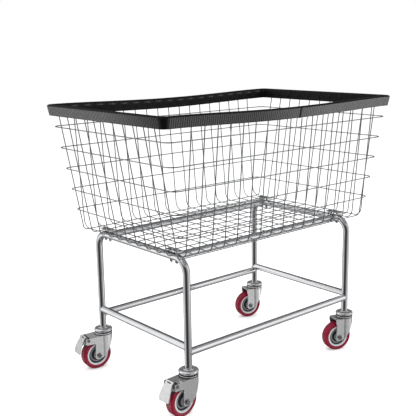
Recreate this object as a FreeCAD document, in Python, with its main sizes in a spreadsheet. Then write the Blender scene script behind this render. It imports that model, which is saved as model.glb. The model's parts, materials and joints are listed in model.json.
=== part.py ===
import FreeCAD, Part
import math
import os
import Sketcher

# Laundry cart: a chromed tube frame on four swivel casters carries a flared wire basket with a
# vinyl bumper round its rim.  Millimetres, +Z up.  The origin is on the floor under the middle of
# the cart, +X runs along the cart and +Y across it.

Vector = FreeCAD.Vector
doc = FreeCAD.newDocument("LaundryCart")
sheet = doc.addObject("Spreadsheet::Sheet", "Sizes")

SIZES = (
    ("tube_outer", 22.2, "frame tube, outside diameter"),
    ("tube_wall", 1.5, "frame tube, wall"),
    ("leg_x", 355, "leg centre from the middle, along the cart"),
    ("leg_y", 226, "leg centre from the middle, across the cart"),
    ("leg_foot", 134, "height of the open lower end of a leg"),
    ("top_tube_height", 466, "centre height of the tubes under the basket"),
    ("bend_radius", 43.8, "bend of the leg frame tube, at its centre line"),
    ("rail_y", 171, "top rail centre from the middle"),
    ("long_stretcher_height", 186.4, "centre height of the front and back stretchers"),
    ("short_stretcher_height", 201.5, "centre height of the left and right stretchers"),
    ("weld_gap", 0.5, "gap left for the weld between two frame tubes"),
    ("wire", 3.2, "basket wire diameter"),
    ("lay_gap", 0.05, "gap between crossing wires at their spot weld"),
    ("cross_wires", 17, "number of wires across the basket"),
    ("cross_pitch", 48, "spacing of the wires across the basket"),
    ("length_wires", 11, "number of wires along the basket"),
    ("length_pitch", 48.8, "spacing of the wires along the basket"),
    ("hoops", 5, "number of rings round the basket"),
    ("hoop_base", 546.3, "height of the lowest ring"),
    ("hoop_pitch", 67.4, "spacing of the rings"),
    ("hoop_corner", 26, "corner radius of a ring"),
    ("flare_base", 543, "height where the two wall positions below are measured"),
    ("end_wall_x", 410, "end wall wires at the flare base, from the middle"),
    ("end_wall_slope", 0.185, "outward run of an end wall for each unit of height"),
    ("side_wall_y", 267.2, "long wall wires at the flare base, from the middle"),
    ("side_wall_slope", 0.091, "outward run of a long wall for each unit of height"),
    ("cross_wire_bend", 28, "bend where a wire across the basket turns from floor to wall"),
    ("length_wire_bend", 15.5, "bend where a wire along the basket turns from floor to wall"),
    ("wire_top", 860.4, "height of the upper ends of the wall wires"),
    ("rod", 7, "rim rod diameter"),
    ("rod_height", 872, "centre height of the rim rod at the corners"),
    ("rod_corner", 14, "corner radius of the rim rod"),
    ("rim_half_x", 486, "bumper outer top edge from the middle, along the cart"),
    ("rim_half_y", 306, "bumper outer top edge from the middle, across the cart"),
    ("rim_height", 886, "height of the bumper top at the corners"),
    ("rim_sag", 8, "droop of the bumper in the middle of a long side"),
    ("rim_corner", 26, "corner radius of the bumper outer top edge"),
    ("bumper_depth", 34, "height of the bumper band"),
    ("bumper_thick", 19.5, "thickness of the bumper over both its walls"),
    ("bumper_wall", 2.6, "thickness of one wall of the bumper"),
    ("bumper_lean", 6, "how far the bumper lower edge stands in from its top edge"),
    ("clamp_width", 20, "clamp plate along the cart"),
    ("clamp_length", 60, "clamp plate across the cart"),
    ("clamp_thick", 2.5, "clamp plate thickness"),
    ("clamp_y", 170.8, "clamp plate centre from the middle"),
    ("clamp_bolt_gap", 25, "distance between the two bolts of a clamp plate"),
    ("clamp_bolt", 6, "clamp bolt diameter"),
    ("bolt_clearance", 0.1, "radial clearance of a bolt in its hole"),
    ("trail", 31, "caster axle behind the swivel axis"),
    ("wheel_outer", 100, "wheel diameter"),
    ("tyre_width", 30, "width of the tyre"),
    ("core_outer", 74, "diameter under the tyre"),
    ("axle", 8, "axle bolt diameter"),
    ("running_fit", 0.05, "radial clearance of a turning pin in its bore"),
    ("press_fit", 0.02, "radial gap left where a piece is pressed home"),
    ("race_base", 125, "underside of the upper race"),
    ("race_top", 136, "top of the rounded rim of the upper race"),
    ("collar_top", 138.5, "top of the collar round the leg"),
    ("stem_top", 168, "top of the stem inside the leg"),
    ("race_outer", 60.5, "diameter of the upper race"),
    ("collar_outer", 34, "diameter of the collar round the leg"),
    ("ball", 6, "swivel ball diameter"),
    ("ball_circle", 22, "radius of the ring of swivel balls"),
    ("balls", 18, "number of swivel balls"),
    ("crown_top", 122, "top of the fork crown"),
    ("crown_base", 118.5, "underside of the fork crown flange"),
    ("crown_outer", 59.4, "diameter of the fork crown flange"),
    ("crown_neck", 53, "diameter of the neck under the crown flange"),
    ("fork_top", 116, "top face of the fork plate"),
    ("fork_sheet", 2.5, "thickness of the fork sheet"),
    ("fork_half", 25.5, "half width of the fork over its two cheeks"),
    ("fork_front", 29, "radius of the bowl-shaped front of the fork"),
    ("fork_plate_end", 60, "rear edge of the top plate of a brake fork, behind the swivel axis"),
    ("king_pin", 8, "king pin diameter"),
    ("pivot_reach", 67, "brake pivot behind the swivel axis"),
    ("pivot_height", 109, "height of the brake pivot"),
    ("brake_pin", 6, "brake pin diameter"),
    ("pedal_half", 21.5, "half width of the brake pedal at its foot"),
    ("pedal_neck", 15.5, "half width of the brake pedal at its pivot"),
    ("pedal_sheet", 2.2, "thickness of the brake pedal sheet"),
    ("shoe_gap", 0.4, "gap between brake shoe and tyre with the pedal down"),
    ("shoe_thick", 6, "thickness of the brake shoe"),
    ("angle_front_left", 183, "direction in which this caster trails, degrees from +X"),
    ("angle_back_left", 173, "direction in which this caster trails"),
    ("angle_front_right", 160, "direction in which this caster trails"),
    ("angle_back_right", 164, "direction in which this caster trails"),
)


class Dim:
    """A size that knows its number and the sheet formula it comes from."""

    def __init__(self, value, formula):
        self.value = value
        self.formula = formula

    def __add__(self, other):
        return Dim(self.value + number(other), "(%s + %s)" % (self.formula, formula(other)))

    def __sub__(self, other):
        return Dim(self.value - number(other), "(%s - %s)" % (self.formula, formula(other)))

    def __mul__(self, other):
        return Dim(self.value * number(other), "(%s * %s)" % (self.formula, formula(other)))

    def __truediv__(self, other):
        return Dim(self.value / number(other), "(%s / %s)" % (self.formula, formula(other)))

    def __neg__(self):
        return Dim(-self.value, "(0 - %s)" % self.formula)

    def __radd__(self, other):
        return self + other

    def __rsub__(self, other):
        return -self + other


def number(size):
    return size.value if isinstance(size, Dim) else size


def other_leg(longest, leg):
    """Third side of a right triangle, from its longest side and another."""
    value = math.sqrt(longest.value ** 2 - leg.value ** 2)
    return Dim(value, "sqrt(%s ^ 2 - %s ^ 2)" % (longest.formula, leg.formula))


def formula(size):
    return size.formula if isinstance(size, Dim) else "(%s)" % size


def fill_sheet():
    sheet.set("A1", "size")
    sheet.set("B1", "value")
    sheet.set("C1", "meaning")
    for row, (alias, value, meaning) in enumerate(SIZES, start=2):
        sheet.set("A%d" % row, alias)
        sheet.set("B%d" % row, str(value))
        sheet.set("C%d" % row, meaning)
        sheet.setAlias("B%d" % row, alias)
    doc.recompute()


fill_sheet()
size = {alias: Dim(float(sheet.get(alias)), "Sizes." + alias) for alias, _, _ in SIZES}

# ---------------------------------------------------------------- helpers for bodies and sketches


def bind(thing, path, value):
    """Set a property, and tie it to the sheet when its value comes from there."""
    if isinstance(value, Dim):
        thing.setExpression(path, value.formula)
    else:
        thing.setExpression(path, formula(value))


def new_body(label):
    body = doc.addObject("PartDesign::Body", label)
    body.Label = label
    body.AllowCompound = True
    return body


def new_sketch(body, role, offset=0):
    """Sketch on an origin plane of its body, moved along the plane's normal by offset."""
    sketch = body.newObject("Sketcher::SketchObject", body.Name + "_sketch")
    plane = [item for item in body.Origin.OriginFeatures if item.Role == role][0]
    sketch.AttachmentSupport = [(plane, "")]
    sketch.MapMode = "FlatFace"
    bind(sketch, "AttachmentOffset.Base.z", offset)
    return sketch


def constrain(sketch, kind, geometry, value):
    index = sketch.addConstraint(Sketcher.Constraint(kind, *geometry, number(value)))
    bind(sketch, "Constraints[%d]" % index, value)


def pin_point(sketch, index, point, x, y):
    """Fix a point of a sketch element at x, y."""
    if number(x) == 0:
        sketch.addConstraint(Sketcher.Constraint("PointOnObject", index, point, -2))
    else:
        constrain(sketch, "DistanceX", (-1, 1, index, point), x)
    if number(y) == 0:
        sketch.addConstraint(Sketcher.Constraint("PointOnObject", index, point, -1))
    else:
        constrain(sketch, "DistanceY", (-1, 1, index, point), y)


def add_circle(sketch, x, y, radius):
    centre = Vector(number(x), number(y), 0)
    index = sketch.addGeometry(Part.Circle(centre, Vector(0, 0, 1), number(radius)))
    pin_point(sketch, index, 3, x, y)
    constrain(sketch, "Radius", (index,), radius)


def arc_between(start, end, radius):
    """The shorter arc from start to end; a positive radius turns left, a negative one right."""
    chord = end - start
    left = Vector(-chord.y, chord.x, 0) / chord.Length
    rise = math.sqrt(radius * radius - chord.Length ** 2 / 4)
    centre = (start + end) / 2 + left * math.copysign(rise, radius)
    first, last = (start, end) if radius > 0 else (end, start)
    angles = [math.atan2(point.y - centre.y, point.x - centre.x) for point in (first, last)]
    return Part.ArcOfCircle(Part.Circle(centre, Vector(0, 0, 1), abs(radius)), *angles)


def add_outline(sketch, corners):
    """Closed outline through corners (x, y) or (x, y, radius).  A radius bends the side that
    starts at that corner: positive turns left, negative turns right."""
    points = [Vector(number(corner[0]), number(corner[1]), 0) for corner in corners]
    sides = []
    for place, corner in enumerate(corners):
        start, end = points[place], points[(place + 1) % len(points)]
        radius = corner[2] if len(corner) > 2 else None
        if radius is None:
            sides.append((sketch.addGeometry(Part.LineSegment(start, end)), 1, 2))
        else:
            index = sketch.addGeometry(arc_between(start, end, number(radius)))
            sides.append((index, 1, 2) if number(radius) > 0 else (index, 2, 1))
            constrain(sketch, "Radius", (index,), radius if number(radius) > 0 else -radius)
    for place, (index, first, last) in enumerate(sides):
        following = sides[(place + 1) % len(sides)]
        sketch.addConstraint(Sketcher.Constraint("Coincident", index, last, following[0], following[1]))
        pin_point(sketch, index, first, corners[place][0], corners[place][1])


def pad(body, sketch, length, both_ways=False, reverse=False):
    feature = body.newObject("PartDesign::Pad", body.Name + "_pad")
    feature.Profile = sketch
    bind(feature, "Length", length)
    feature.SideType = "Symmetric" if both_ways else "One side"
    feature.Reversed = reverse
    doc.recompute()
    return feature


def pocket(body, sketch, length=None, both_ways=False, reverse=False):
    """Cut the sketch out of the body: through all of it, or over a length."""
    before = body.Shape.Volume
    feature = body.newObject("PartDesign::Pocket", body.Name + "_pocket")
    feature.Profile = sketch
    feature.SideType = "Symmetric" if both_ways or length is None else "One side"
    if length is None:
        feature.Type = "ThroughAll"
    else:
        bind(feature, "Length", length)
        feature.Reversed = reverse
    doc.recompute()
    if not body.Shape.Volume < before - 1e-6:
        raise RuntimeError("a pocket of %s cuts nothing" % body.Label)
    return feature


def revolve(body, sketch, axis="V_Axis", cut=False):
    before = 0 if body.Shape.isNull() else body.Shape.Volume
    kind = "Groove" if cut else "Revolution"
    feature = body.newObject("PartDesign::" + kind, body.Name + "_" + kind.lower())
    feature.Profile = sketch
    feature.ReferenceAxis = (sketch, [axis])
    feature.Angle = 360
    doc.recompute()
    if cut and not body.Shape.Volume < before - 1e-6:
        raise RuntimeError("a groove of %s cuts nothing" % body.Label)
    return feature


def pipe(body, profile, path):
    feature = body.newObject("PartDesign::AdditivePipe", body.Name + "_pipe")
    feature.Profile = profile
    feature.Spine = path
    doc.recompute()
    return feature


def repeat_in_line(body, feature, axis, span, count):
    """Repeat a feature along an origin axis, first to last copy over the whole span."""
    pattern = body.newObject("PartDesign::LinearPattern", body.Name + "_row")
    pattern.Originals = [feature]
    line = [item for item in body.Origin.OriginFeatures if item.Role == axis][0]
    pattern.Direction = (line, [""])
    bind(pattern, "Length", span)
    bind(pattern, "Occurrences", count)
    body.Tip = pattern
    doc.recompute()


def repeat_round(body, feature, count):
    """Repeat a feature round the body's Z axis."""
    pattern = body.newObject("PartDesign::PolarPattern", body.Name + "_ring")
    pattern.Originals = [feature]
    line = [item for item in body.Origin.OriginFeatures if item.Role == "Z_Axis"][0]
    pattern.Axis = (line, [""])
    pattern.Angle = 360
    bind(pattern, "Occurrences", count)
    body.Tip = pattern
    doc.recompute()


def mirror(body, features, role):
    """Repeat features on the other side of an origin plane."""
    feature = body.newObject("PartDesign::Mirrored", body.Name + "_mirror")
    feature.Originals = features
    plane = [item for item in body.Origin.OriginFeatures if item.Role == role][0]
    feature.MirrorPlane = (plane, [""])
    body.Tip = feature
    doc.recompute()


def place(thing, x=0, y=0, z=0, turn=None):
    """Placement of a finished piece: turned about Z, then moved."""
    if turn is not None:
        bind(thing, "Placement.Rotation.Angle", turn)
    for letter, value in (("x", x), ("y", y), ("z", z)):
        bind(thing, "Placement.Base." + letter, value)


NODES = []


def keep(thing):
    """Note a finished piece, to be written under its label."""
    NODES.append(thing)
    return thing


# ------------------------------------------------------------------------------------ tube frame

tube_radius = size["tube_outer"] / 2
bore_radius = tube_radius - size["tube_wall"]
cope_radius = tube_radius + size["weld_gap"]
bolt_first = size["clamp_y"] - size["clamp_bolt_gap"] / 2
bolt_last = size["clamp_y"] + size["clamp_bolt_gap"] / 2


def leg_frame(label, x):
    """One tube bent to an inverted U, with the four clamp bolt holes through its top."""
    body = new_body(label)
    profile = new_sketch(body, "XY_Plane", size["leg_foot"])
    add_circle(profile, 0, -size["leg_y"], tube_radius)
    add_circle(profile, 0, -size["leg_y"], bore_radius)
    path = new_sketch(body, "YZ_Plane")
    side, top, bend = size["leg_y"], size["top_tube_height"], size["bend_radius"]
    foot = size["leg_foot"]
    stations = (
        (-side, foot),
        (-side, top - bend),
        (bend - side, top),
        (side - bend, top),
        (side, top - bend),
        (side, foot),
    )
    points = [Vector(number(a), number(b), 0) for a, b in stations]
    radius = number(bend)
    elements = (
        (Part.LineSegment(points[0], points[1]), 1, 2),
        (arc_between(points[1], points[2], -radius), 2, 1),
        (Part.LineSegment(points[2], points[3]), 1, 2),
        (arc_between(points[3], points[4], -radius), 2, 1),
        (Part.LineSegment(points[4], points[5]), 1, 2),
    )
    chain = [(path.addGeometry(shape), first, last) for shape, first, last in elements]
    for (index, _, last), (following, first, _) in zip(chain, chain[1:]):
        path.addConstraint(Sketcher.Constraint("Coincident", index, last, following, first))
    for index, first, _ in chain:
        pin_point(path, index, first, *stations[index])
    pin_point(path, chain[-1][0], 2, *stations[-1])
    for index in (1, 3):
        constrain(path, "Radius", (index,), bend)
    pipe(body, profile, path)
    holes = new_sketch(body, "XY_Plane", size["top_tube_height"])
    for y in (bolt_first, bolt_last, -bolt_first, -bolt_last):
        add_circle(holes, 0, y, size["clamp_bolt"] / 2 + size["bolt_clearance"])
    depth = size["tube_outer"] * 2
    feature = pocket(body, holes, depth)
    feature.SideType = "Symmetric"
    place(body, x)
    return keep(body)


def coped_tube(label, along, half_length, height, place_x=0, place_y=0, across="XY_Plane"):
    """Straight tube whose two ends are saddle-cut to fit round the tubes they are welded to."""
    body = new_body(label)
    profile = new_sketch(body, "YZ_Plane" if along == "x" else "XZ_Plane")
    add_circle(profile, 0, height, tube_radius)
    add_circle(profile, 0, height, bore_radius)
    pad(body, profile, half_length * 2, both_ways=True)
    cope = new_sketch(body, across)
    for end in (half_length, -half_length):
        if across == "XZ_Plane":
            add_circle(cope, end, height, cope_radius)
        elif along == "x":
            add_circle(cope, end, 0, cope_radius)
        else:
            add_circle(cope, 0, end, cope_radius)
    pocket(body, cope)
    place(body, place_x, place_y)
    return keep(body)


def build_frame():
    leg_frame("leg_frame_left", -size["leg_x"])
    leg_frame("leg_frame_right", size["leg_x"])
    for name, side in (("front", -1), ("back", 1)):
        coped_tube("top_rail_" + name, "x", size["leg_x"], size["top_tube_height"],
                   place_y=size["rail_y"] * side, across="XZ_Plane")
        coped_tube("stretcher_" + name, "x", size["leg_x"], size["long_stretcher_height"],
                   place_y=size["leg_y"] * side)
    for name, side in (("left", -1), ("right", 1)):
        coped_tube("stretcher_" + name, "y", size["leg_y"], size["short_stretcher_height"],
                   place_x=size["leg_x"] * side)


# ---------------------------------------------------------------------------------------- basket

wire_radius = size["wire"] / 2
length_floor = size["top_tube_height"] + tube_radius + size["lay_gap"] + wire_radius
cross_floor = length_floor + size["wire"] + size["lay_gap"]


def end_wall(height):
    return size["end_wall_x"] + size["end_wall_slope"] * (height - size["flare_base"])


def side_wall(height):
    return size["side_wall_y"] + size["side_wall_slope"] * (height - size["flare_base"])


def wall_path(sketch, half_top, top, floor, slope, bend):
    """Open path down one leaning wall, along the floor and up the other wall."""
    lean = math.atan(number(slope))
    bend_size = number(bend)
    low = number(floor) + bend_size - bend_size * math.sin(lean)
    run = (number(top) - low) * math.tan(lean)
    centre = number(half_top) - run - bend_size * math.cos(lean)
    wall_end = Vector(centre + bend_size * math.cos(lean), low, 0)
    floor_end = Vector(centre, number(floor), 0)
    rim_end = Vector(number(half_top), number(top), 0)
    mirrored = [Vector(-point.x, point.y, 0) for point in (rim_end, wall_end, floor_end)]
    sketch.addGeometry(Part.LineSegment(mirrored[0], mirrored[1]))
    sketch.addGeometry(arc_between(mirrored[1], mirrored[2], bend_size))
    sketch.addGeometry(Part.LineSegment(mirrored[2], floor_end))
    sketch.addGeometry(arc_between(floor_end, wall_end, bend_size))
    sketch.addGeometry(Part.LineSegment(wall_end, rim_end))
    for first in range(4):
        sketch.addConstraint(Sketcher.Constraint("Tangent", first, 2, first + 1, 1))
    sketch.addConstraint(Sketcher.Constraint("Horizontal", 2))
    sketch.addConstraint(Sketcher.Constraint("Equal", 0, 4))
    sketch.addConstraint(Sketcher.Constraint("Symmetric", 0, 1, 4, 2, -2))
    constrain(sketch, "Radius", (1,), bend)
    constrain(sketch, "Radius", (3,), bend)
    constrain(sketch, "DistanceY", (-1, 1, 2, 1), floor)
    pin_point(sketch, 4, 2, half_top, top)
    upright = sketch.addConstraint(Sketcher.Constraint("Angle", 4, math.pi / 2 - lean))
    sketch.setExpression("Constraints[%d]" % upright, "90 deg - atan(%s)" % formula(slope))


def wall_wires(label, along, half_top, floor, slope, bend, pitch, count):
    """A row of equal wires, each one running down a wall, across the floor and up again."""
    body = new_body(label)
    first = -pitch * (count - 1) / 2
    if along == "x":
        path = new_sketch(body, "XZ_Plane", -first)
        profile = new_sketch(body, "XY_Plane", size["wire_top"])
        add_circle(profile, -half_top, first, wire_radius)
        row_axis = "Y_Axis"
    else:
        path = new_sketch(body, "YZ_Plane", first)
        profile = new_sketch(body, "XY_Plane", size["wire_top"])
        add_circle(profile, first, -half_top, wire_radius)
        row_axis = "X_Axis"
    wall_path(path, half_top, size["wire_top"], floor, slope, bend)
    wire = pipe(body, profile, path)
    repeat_in_line(body, wire, row_axis, pitch * (count - 1), count)
    place(body)
    return keep(body)


def rounded_ring(half_x, half_y, corner, height, rod_radius, label):
    """One ring of round wire: a rounded rectangle path swept with a circle."""
    path = doc.addObject("Sketcher::SketchObject", label + "_path")
    bind(path, "Placement.Base.z", height)
    inner_x, inner_y = half_x - corner, half_y - corner
    add_outline(path, (
        (inner_x, -half_y, corner),
        (half_x, -inner_y),
        (half_x, inner_y, corner),
        (inner_x, half_y),
        (-inner_x, half_y, corner),
        (-half_x, inner_y),
        (-half_x, -inner_y, corner),
        (-inner_x, -half_y),
    ))
    profile = doc.addObject("Part::Circle", label + "_section")
    bind(profile, "Radius", rod_radius)
    profile.Placement.Rotation = FreeCAD.Rotation(Vector(0, 0, 1), Vector(1, 0, 0))
    bind(profile, "Placement.Base.y", -half_y)
    bind(profile, "Placement.Base.z", height)
    ring = doc.addObject("Part::Sweep", label)
    ring.Sections = [profile]
    ring.Spine = (path, [])
    ring.Solid = True
    ring.Frenet = False
    ring.Transition = "Transformed"
    return ring


def build_hoops():
    """Five rings outside the wall wires, each one following the flare of the walls."""
    rings = []
    outside = size["wire"] + size["lay_gap"]
    for step in range(int(number(size["hoops"]))):
        height = size["hoop_base"] + size["hoop_pitch"] * step
        rings.append(rounded_ring(end_wall(height) + outside, side_wall(height) + outside,
                                  size["hoop_corner"], height, wire_radius, "hoop_%d" % step))
    group = doc.addObject("Part::Compound", "basket_hoop_wires")
    group.Links = rings
    place(group)
    return keep(group)


def rim_spine(half_x, half_y, corner, top):
    """Closed path round the rim.  Its long sides droop in the middle; it leaves every corner
    level, so it is smooth all round."""
    sag = number(size["rim_sag"])
    inner_x, inner_y = half_x - corner, half_y - corner
    edges = []
    for side in (-1, 1):
        steps = [index / 8.0 for index in range(-8, 9)]
        points = [Vector(side * -step * inner_x, side * half_y, top - sag * (1 - step * step) ** 2)
                  for step in steps]
        curve = Part.BSplineCurve()
        level = Vector(-side, 0, 0)
        curve.interpolate(Points=points, InitialTangent=level, FinalTangent=level)
        edges.append(curve.toShape())
        end_x = side * -half_x
        edges.append(Part.makeLine(Vector(end_x, side * inner_y, top), Vector(end_x, -side * inner_y, top)))
        for y_side in (side, -side):
            centre = Vector(side * -inner_x, y_side * inner_y, top)
            middle = centre + Vector(side * -corner, y_side * corner, 0) * math.sqrt(0.5)
            start = centre + Vector(0, y_side * corner, 0)
            end = centre + Vector(side * -corner, 0, 0)
            edges.append(Part.Arc(start, middle, end).toShape())
    return Part.Wire(Part.__sortEdges__(edges))


def sweep_round_rim(section, spine):
    """Sweep a closed section, standing at the start of the spine, upright all the way round."""
    shell = Part.BRepOffsetAPI.MakePipeShell(spine)
    shell.setBiNormalMode(Vector(0, 0, 1))
    shell.add(section, False, False)
    shell.build()
    shell.makeSolid()
    return shell.shape()


def spine_start(spine):
    edge = spine.OrderedEdges[0]
    start = edge.valueAt(edge.FirstParameter)
    return start, edge.tangentAt(edge.FirstParameter)


def section_at(spine, corners, reference):
    """Closed polygon of (outward, up) corners, standing on the start of the spine."""
    start, tangent = spine_start(spine)
    outward = Vector(tangent.y, -tangent.x, 0).normalize()
    if outward.dot(start) < 0:
        outward = outward * -1
    shift = Vector(start.x, start.y, reference)
    points = [shift + outward * out + Vector(0, 0, up) for out, up in corners]
    return Part.makePolygon(points + points[:1])


def build_bumper():
    """Vinyl channel over the rim: outer wall, rounded top and inner wall, open underneath."""
    thick = number(size["bumper_thick"])
    wall = number(size["bumper_wall"])
    depth = number(size["bumper_depth"])
    lean = number(size["bumper_lean"])
    edge = 3.0
    half = thick / 2
    spine = rim_spine(number(size["rim_half_x"]) - half, number(size["rim_half_y"]) - half,
                      number(size["rim_corner"]) - half, number(size["rim_height"]))
    inner = half - wall
    corners = (
        (half - lean, -depth),
        (half, -edge),
        (half - edge, 0),
        (edge - half, 0),
        (-half, -edge),
        (-half - lean, -depth),
        (-half - lean + wall, -depth),
        (-inner - lean * 0.1, -wall - edge),
        (inner - lean * 0.1, -wall - edge),
        (half - lean - wall, -depth),
    )
    bumper = doc.addObject("Part::Feature", "bumper")
    bumper.Shape = sweep_round_rim(section_at(spine, corners, spine_start(spine)[0].z), spine)
    return keep(bumper)


def build_rim_rod():
    """The thick rod that the wall wires end at, drooping with the bumper that hides it."""
    height = size["rod_height"]
    spine = rim_spine(number(end_wall(height)), number(side_wall(height)),
                      number(size["rod_corner"]), number(height))
    start, tangent = spine_start(spine)
    circle = Part.Wire(Part.Circle(start, tangent, number(size["rod"]) / 2).toShape())
    rod = doc.addObject("Part::Feature", "basket_rim_rod")
    rod.Shape = sweep_round_rim(circle, spine)
    return keep(rod)


def build_basket():
    wall_wires("basket_length_wires", "x", end_wall(size["wire_top"]), length_floor,
               size["end_wall_slope"], size["length_wire_bend"], size["length_pitch"], size["length_wires"])
    wall_wires("basket_cross_wires", "y", side_wall(size["wire_top"]), cross_floor,
               size["side_wall_slope"], size["cross_wire_bend"], size["cross_pitch"], size["cross_wires"])
    build_hoops()
    build_rim_rod()
    build_bumper()


# ------------------------------------------------------------------------------------ clamp sets

plate_base = cross_floor + wire_radius + size["lay_gap"]
plate_top = plate_base + size["clamp_thick"]
BOLT_HEAD_HEIGHT = 4
BOLT_HEAD_RADIUS = 5.77
NUT_HEIGHT = 5
OUTER_NUT_DROP = 0.85


def hexagon(sketch, x, y, radius):
    """Regular hexagon with two corners on the line through its centre along the first axis."""
    corners = []
    for step in range(6):
        turn = math.radians(60 * step)
        dx, dy = round(radius * math.cos(turn), 4), round(radius * math.sin(turn), 4)
        corners.append((x + dx, y + dy))
    add_outline(sketch, corners)


def four_places():
    return [(side_x, side_y) for side_x in (-1, 1) for side_y in (-1, 1)]


def bolt_places():
    """All eight clamp bolts: two through each of the four plates."""
    return [(size["leg_x"] * side_x, y * side_y)
            for side_x, side_y in four_places() for y in (bolt_first, bolt_last)]


def build_clamps():
    """Plates that press the floor wires on to the leg frames, with their bolts and nuts.  The outer
    nuts sit a little lower, where the tube has begun to bend."""
    plates = new_body("clamp_plates")
    outline = new_sketch(plates, "XY_Plane", plate_base)
    half_x, half_y = size["clamp_width"] / 2, size["clamp_length"] / 2
    for side_x, side_y in four_places():
        x, y = size["leg_x"] * side_x, size["clamp_y"] * side_y
        add_outline(outline, (
            (x - half_x, y - half_y),
            (x + half_x, y - half_y),
            (x + half_x, y + half_y),
            (x - half_x, y + half_y),
        ))
    pad(plates, outline, size["clamp_thick"])
    holes = new_sketch(plates, "XY_Plane", plate_base)
    for x, y in bolt_places():
        add_circle(holes, x, y, size["clamp_bolt"] / 2 + size["bolt_clearance"])
    pocket(plates, holes)
    place(plates)
    keep(plates)

    bolts = new_body("clamp_bolts")
    heads = new_sketch(bolts, "XY_Plane", plate_top + size["press_fit"])
    shanks = new_sketch(bolts, "XY_Plane", plate_top + size["press_fit"])
    for x, y in bolt_places():
        hexagon(heads, x, y, BOLT_HEAD_RADIUS)
        add_circle(shanks, x, y, size["clamp_bolt"] / 2)
    pad(bolts, heads, BOLT_HEAD_HEIGHT)
    grip = plate_top - size["top_tube_height"] + tube_radius
    pad(bolts, shanks, grip + NUT_HEIGHT + OUTER_NUT_DROP + 2, reverse=True)
    place(bolts)
    keep(bolts)

    nuts = new_body("clamp_nuts")
    nut_top = size["top_tube_height"] - tube_radius - size["press_fit"]
    for outer, seat in ((False, nut_top), (True, nut_top - OUTER_NUT_DROP)):
        flats = new_sketch(nuts, "XY_Plane", seat)
        for x, y in bolt_places():
            if (abs(number(y)) > number(size["clamp_y"])) == outer:
                hexagon(flats, x, y, BOLT_HEAD_RADIUS)
        pad(nuts, flats, NUT_HEIGHT, reverse=True)
    bores = new_sketch(nuts, "XY_Plane", nut_top)
    for x, y in bolt_places():
        add_circle(bores, x, y, size["clamp_bolt"] / 2 + size["press_fit"])
    pocket(nuts, bores)
    place(nuts)
    keep(nuts)


# --------------------------------------------------------------------------------------- casters
# Each caster is drawn with its swivel axis on Z, its wheel trailing towards +X and the floor at
# zero, then turned about Z and moved under its leg.

axle_height = size["wheel_outer"] / 2
pin_radius = size["king_pin"] / 2
PIN_HEAD_BASE = 108.5
PIN_HEAD_TOP = 112.5
PIN_HEAD_RADIUS = 9
PIN_TOP = 148
RACE_DISH = 2
COLLAR_ROUND = 2
ball_height = (size["race_base"] + size["crown_top"]) / 2
groove_radius = size["ball"] / 2 + size["running_fit"]


def caster_place(thing, caster):
    place(thing, caster["x"], caster["y"], 0, caster["turn"])


def ball_groove(body):
    """Ring-shaped groove that the swivel balls run in."""
    sketch = new_sketch(body, "XZ_Plane")
    add_circle(sketch, size["ball_circle"], ball_height, groove_radius)
    revolve(body, sketch, cut=True)


def build_stem(caster):
    """Upper race, collar round the foot of the leg and stem inside it, turned in one piece."""
    body = new_body(caster["name"] + "_stem")
    sketch = new_sketch(body, "XZ_Plane")
    bore = pin_radius + size["press_fit"]
    race = size["race_outer"] / 2
    collar = size["collar_outer"] / 2
    stem = bore_radius - size["running_fit"]
    seat = size["leg_foot"] - size["lay_gap"]
    rim_half = (size["race_top"] - size["race_base"]) / 2
    dish = size["race_top"] - RACE_DISH
    add_outline(sketch, (
        (bore, size["race_base"]),
        (race - rim_half, size["race_base"], rim_half),
        (race, size["race_base"] + rim_half, rim_half),
        (race - rim_half, size["race_top"]),
        (race - rim_half - 2.5, dish),
        (collar, dish),
        (collar, size["collar_top"] - COLLAR_ROUND, COLLAR_ROUND),
        (collar - COLLAR_ROUND, size["collar_top"]),
        (tube_radius + size["running_fit"], size["collar_top"]),
        (tube_radius + size["running_fit"], seat),
        (stem, seat),
        (stem, size["stem_top"] - 1.5),
        (stem - 1.5, size["stem_top"]),
        (0, size["stem_top"]),
        (0, PIN_TOP + 0.5),
        (bore, PIN_TOP + 0.5),
    ))
    revolve(body, sketch)
    ball_groove(body)
    caster_place(body, caster)
    keep(body)


def build_king_pin(caster):
    """Rivet that holds the fork up against the balls."""
    body = new_body(caster["name"] + "_king_pin")
    sketch = new_sketch(body, "XZ_Plane")
    add_outline(sketch, (
        (0, PIN_HEAD_BASE),
        (PIN_HEAD_RADIUS - 2, PIN_HEAD_BASE),
        (PIN_HEAD_RADIUS, PIN_HEAD_BASE + 1.5),
        (PIN_HEAD_RADIUS, PIN_HEAD_TOP),
        (pin_radius, PIN_HEAD_TOP),
        (pin_radius, PIN_TOP),
        (0, PIN_TOP),
    ))
    revolve(body, sketch)
    caster_place(body, caster)
    keep(body)


def build_balls(caster):
    """Ring of balls between the upper race and the fork crown."""
    body = new_body(caster["name"] + "_balls")
    sketch = new_sketch(body, "XZ_Plane", 0)
    radius = size["ball"] / 2
    centre = size["ball_circle"]
    # One meridian half circle, drawn as two quarter turns, spun about its own upright chord.
    add_outline(sketch, (
        (centre, ball_height - radius, radius),
        (centre + radius, ball_height, radius),
        (centre, ball_height + radius),
    ))
    ball = body.newObject("PartDesign::Revolution", body.Name + "_ball")
    ball.Profile = sketch
    ball.ReferenceAxis = (sketch, ["Edge3"])
    ball.Angle = 360
    doc.recompute()
    repeat_round(body, ball, size["balls"])
    caster_place(body, caster)
    keep(body)


def fork_plan(sketch, front, half, reach):
    """Plan of the fork: a round bowl about the swivel axis, and straight cheeks behind it."""
    knee = other_leg(front, half)
    add_outline(sketch, (
        (knee, half, front),
        (-front, 0, front),
        (knee, -half),
        (reach, -half),
        (reach, half),
    ))


AXLE_EYE = 13.5
LOBE_REACH = 12
CHEEK_BASE = 30
BOWL_LIP = 27.5


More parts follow.
